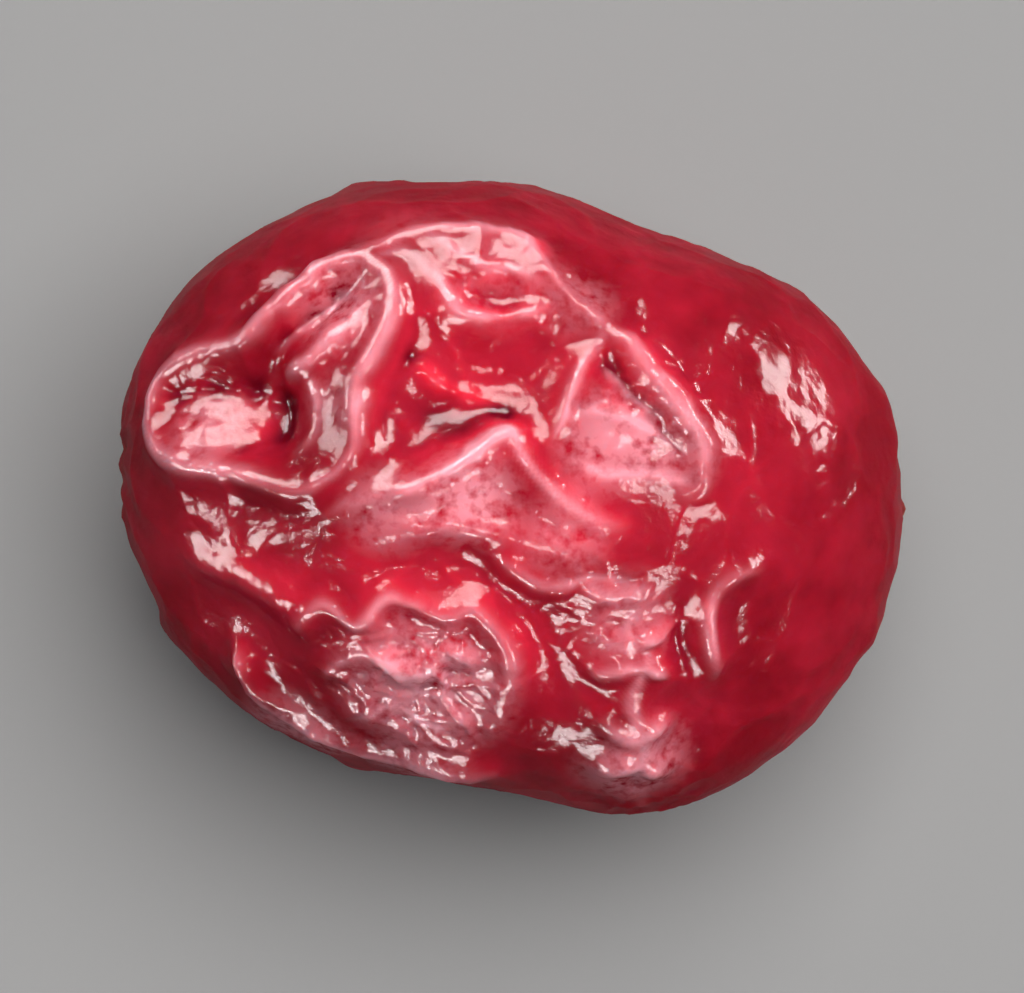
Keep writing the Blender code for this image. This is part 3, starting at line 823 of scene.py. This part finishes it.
def skin_material(skin):
    """Moist flesh that light spreads in, flanks darker partly by painted shade, pale dry crests and patches
    partly painted highlight, painted shade in the folds, and brown ends.
    """
    material = bpy.data.materials.new("Cranberry skin")
    material.use_nodes = True
    tree = NodeTree(material.node_tree)
    shader = material.node_tree.nodes["Principled BSDF"]
    place = tree.add("ShaderNodeTexCoord", out="Object")
    height = tree.add("ShaderNodeSeparateXYZ", (0, place), out=2)
    blotches = tree.add("ShaderNodeTexNoise", ("Vector", place), ("Scale", BLOTCH_SCALE), ("Detail", 3.0))
    mottles = tree.add("ShaderNodeTexNoise", ("Vector", place), ("Scale", MOTTLE_SCALE), ("Detail", 2.0))
    specks = tree.add("ShaderNodeTexNoise", ("Vector", place), ("Scale", SPECK_SCALE), ("Detail", 2.0))
    fine = attribute(tree, "fine_rise")
    broad = attribute(tree, "broad_rise")
    # Painted shade, partly the taut skin's own deeper colour: the skin darkens from the flesh's colour
    # towards the bottom and away from the hollows.
    low, high = (level * MM for level in FLESH_HEIGHTS)
    up = tree.add(
        "ShaderNodeMapRange",
        (0, height), (1, low), (2, high),
        interpolation_type="SMOOTHSTEP", clamp=True,
    )
    up = tree.math("MULTIPLY", up, tree.math("MULTIPLY_ADD", attribute(tree, "sunken"), 0.75, 0.25))
    up = tree.math("ADD", up, tree.math("MULTIPLY_ADD", blotches, 1.0, -0.5))
    up = tree.math("ADD", up, tree.math("MULTIPLY_ADD", mottles, 0.5, -0.25), clamp=True)
    colour = mixed(tree, up, tuple(skin.flank_and_shade), tuple(skin.flesh))
    # Painted shade in the folds: skin lower than the skin nearby is darkened towards the fold colour.
    shade = tree.math("MULTIPLY", tree.math("ADD", fine, tree.math("MULTIPLY", broad, 0.5)), -0.3, clamp=True)
    colour = mixed(tree, shade, colour, tuple(skin.painted_fold_shade))
    # Pale dry skin on the crests, on small rises and in the pale patches, partly painted highlight.
    patchy = tree.math("MULTIPLY_ADD", blotches, 3.0, -0.8, clamp=True)
    ridge = tree.math("MULTIPLY", attribute(tree, "ridge"), patchy)
    frost = tree.math("ADD", mottles, tree.math("MULTIPLY_ADD", specks, 1.2, -0.6))
    frost = tree.math("MULTIPLY_ADD", frost, 2.4, -0.35, clamp=True)
    dry = tree.math("MULTIPLY", attribute(tree, "pale"), frost)
    sharp = tree.math("MULTIPLY", fine, tree.math("ABSOLUTE", fine))
    risen = tree.math("MULTIPLY", tree.math("MULTIPLY", sharp, up), 0.08)
    pale = total(tree, tree.math("MULTIPLY", ridge, 0.9), risen, dry)
    colour = mixed(tree, tree.math("MULTIPLY", pale, 0.8, clamp=True), colour, tuple(skin.crest))
    stained = attribute(tree, "stained")
    stain = tree.math("MULTIPLY", stained, tree.math("MULTIPLY_ADD", specks, 1.2, 0.2), clamp=True)
    colour = mixed(tree, stain, colour, tuple(skin.scar))
    tree.tree.links.new(colour, shader.inputs["Base Color"])
    rough = tree.math("MULTIPLY_ADD", stained, 0.4, tree.math("MULTIPLY_ADD", mottles, 0.3, 0.15), clamp=True)
    tree.tree.links.new(rough, shader.inputs["Roughness"])
    tree.tree.links.new(tree.math("MULTIPLY_ADD", stained, -0.23, 0.25), shader.inputs["Coat Weight"])
    bump = tree.add("ShaderNodeBump", ("Strength", 0.5), ("Distance", 0.03 * MM), ("Height", specks))
    bump = tree.add(
        "ShaderNodeBump", ("Strength", 0.4), ("Distance", 0.1 * MM), ("Height", mottles), ("Normal", bump)
    )
    tree.tree.links.new(bump, shader.inputs["Normal"])
    tree.tree.links.new(bump, shader.inputs["Coat Normal"])
    shader.inputs["IOR"].default_value = 1.35
    shader.inputs["Specular IOR Level"].default_value = 0
    shader.inputs["Subsurface Weight"].default_value = 0.7
    shader.inputs["Subsurface Radius"].default_value = (1.0, 0.14, 0.11)
    shader.inputs["Subsurface Scale"].default_value = skin.translucency
    shader.inputs["Coat Roughness"].default_value = 0.16
    shader.inputs["Coat IOR"].default_value = 1.3
    return material


def floor_material(colour):
    """A matt surface of this colour."""
    material = bpy.data.materials.new("Pale board")
    material.use_nodes = True
    shader = material.node_tree.nodes["Principled BSDF"]
    shader.inputs["Base Color"].default_value = (*colour, 1)
    shader.inputs["Roughness"].default_value = 1
    shader.inputs["Specular IOR Level"].default_value = 0
    return material


def add_object(name, data):
    obj = bpy.data.objects.new(name, data)
    bpy.context.scene.collection.objects.link(obj)
    return obj


class CRANBERRY_OT_berry(bpy.types.Operator):
    """Build the wrinkled berry in the place of the plain one"""

    bl_idname = "cranberry.berry"
    bl_label = "Berry"

    def execute(self, context):
        relief = context.scene.cranberry_relief
        berry = add_object("berry", berry_mesh(context.scene.cranberry_form))
        skin = skin_material(context.scene.cranberry_skin)
        with_nodes(
            berry,
            relief_group(),
            **{key(label): getattr(relief, key(label)) for label in RELIEF_SIZES},
            seed=relief.seed,
            material=skin,
        )
        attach(berry, "root")
        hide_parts(NODE)
        return {"FINISHED"}


def add_light(name, distance, around, up, wide, high, brightness):
    """A light in the direction these degrees round and up, which fills this angle seen from the berry."""
    data = bpy.data.lights.new(name, "AREA")
    data.shape = "RECTANGLE"
    data.size, data.size_y = (2 * distance * math.tan(math.radians(size) / 2) for size in (wide, high))
    data.energy = brightness * math.pi * data.size * data.size_y
    light = add_object(name, data)
    direction = Vector((math.cos(math.radians(up)), 0, math.sin(math.radians(up))))
    direction.rotate(Euler((0, 0, math.radians(around))))
    light.location = Vector((0, 0, AIM_HEIGHT * MM)) + distance * direction
    light.rotation_euler = direction.to_track_quat("Z", "Y").to_euler()
    light.visible_camera = False
    return light


class CRANBERRY_OT_studio(bpy.types.Operator):
    """Set up the floor, the lights and the camera straight above"""

    bl_idname = "cranberry.studio"
    bl_label = "Studio"

    def execute(self, context):
        studio = context.scene.cranberry_studio
        mesh = bmesh.new()
        bmesh.ops.create_grid(mesh, x_segments=1, y_segments=1, size=FLOOR_HALF_WIDTH)
        data = bpy.data.meshes.new("floor")
        mesh.to_mesh(data)
        mesh.free()
        data.materials.append(floor_material(tuple(studio.floor)))
        floor = add_object("floor", data)
        fill = add_light("fill light", studio.light_distance, *FILL[:-1], FILL[-1] * studio.fill)
        fill.visible_glossy = False
        for name, (*shape, brightness) in PANELS.items():
            panel = add_light(name, studio.light_distance, *shape, brightness * studio.shine)
            panel.visible_diffuse = False
        world = bpy.data.worlds.new("Studio air")
        context.scene.world = world
        world.use_nodes = True
        background = world.node_tree.nodes["Background"]
        background.inputs["Color"].default_value = (*AIR, 1)
        background.inputs["Strength"].default_value = AIR_STRENGTH
        camera = add_object("camera", bpy.data.cameras.new("camera"))
        camera.data.lens = studio.lens
        low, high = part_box(NODE)
        middle = (low + high) / 2
        distance = studio.field * studio.lens / camera.data.sensor_width
        camera.location = (middle.x, middle.y, middle.z + distance)
        camera.rotation_euler = (0, 0, 0)
        camera.data.clip_start = 0.005
        context.scene.camera = camera
        context.scene.view_settings.view_transform = "Standard"
        return {"FINISHED"}


class CRANBERRY_PT_panel(bpy.types.Panel):
    """Lists the pieces and their settings"""

    bl_idname = "CRANBERRY_PT_panel"
    bl_label = "Cranberry"
    bl_space_type = "VIEW_3D"
    bl_region_type = "UI"
    bl_category = "Cranberry"

    def draw(self, context):
        for label, group, operator in (
            ("Form", "cranberry_form", None),
            ("Relief", "cranberry_relief", CRANBERRY_OT_berry),
            ("Skin", "cranberry_skin", None),
            ("Studio", "cranberry_studio", CRANBERRY_OT_studio),
        ):
            box = self.layout.box()
            box.label(text=label)
            settings = getattr(context.scene, group)
            for name in settings.bl_rna.properties.keys():
                if name not in ("rna_type", "name"):
                    box.prop(settings, name)
            if operator:
                box.operator(operator.bl_idname)


SETTINGS = {
    "cranberry_form": CranberryForm,
    "cranberry_relief": CranberryRelief,
    "cranberry_skin": CranberrySkin,
    "cranberry_studio": CranberryStudio,
}
CLASSES = (*SETTINGS.values(), CRANBERRY_OT_berry, CRANBERRY_OT_studio, CRANBERRY_PT_panel)


def register():
    for cls in CLASSES:
        bpy.utils.register_class(cls)
    for name, cls in SETTINGS.items():
        setattr(bpy.types.Scene, name, PointerProperty(type=cls))


def unregister():
    for name in SETTINGS:
        delattr(bpy.types.Scene, name)
    for cls in reversed(CLASSES):
        bpy.utils.unregister_class(cls)


def main():
    register()
    bpy.ops.cranberry.berry()
    bpy.ops.cranberry.studio()


if __name__ == "__main__":
    main()
